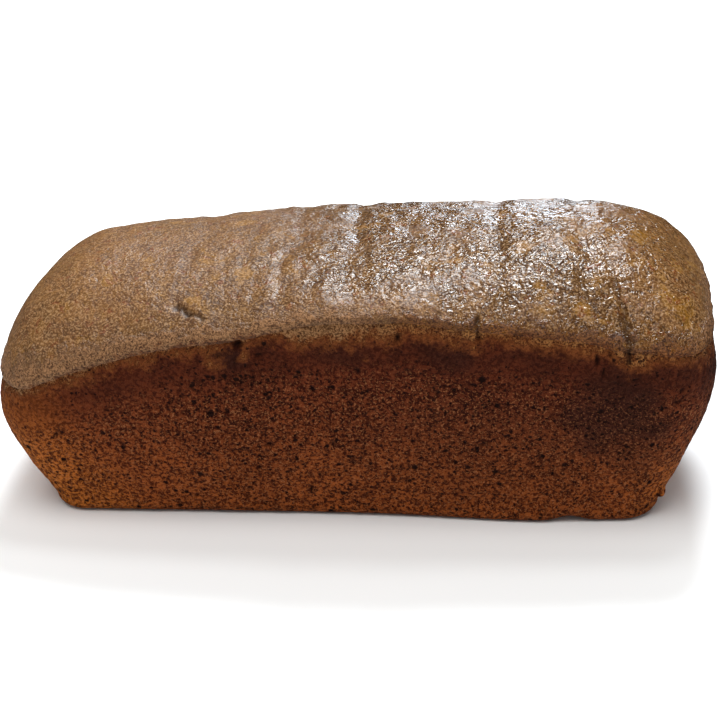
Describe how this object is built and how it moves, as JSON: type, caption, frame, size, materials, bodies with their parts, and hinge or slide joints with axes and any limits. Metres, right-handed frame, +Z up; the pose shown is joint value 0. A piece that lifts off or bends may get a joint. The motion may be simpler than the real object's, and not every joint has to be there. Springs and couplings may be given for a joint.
{
  "type": "tin loaf",
  "caption": "Whole dark rye tin loaf with flared walls, a crumbly rim and a low, glossy domed crust that is lower at one end.",
  "frame": {"origin": "centre of the flat base on the surface the loaf rests on, under the middle of its bounding box", "axes": "+X along the loaf towards its taller end, -Y towards the front long side, +Z up"},
  "size_m": [0.2194, 0.094, 0.0899],
  "materials": {
    "rye_crust": "baked rye bread: porous dark brown walls and a lighter, semi-glossy wrinkled top crust"
  },
  "bodies": {
    "root": {"loaf": "rye_crust"}
  },
  "joints": []
}
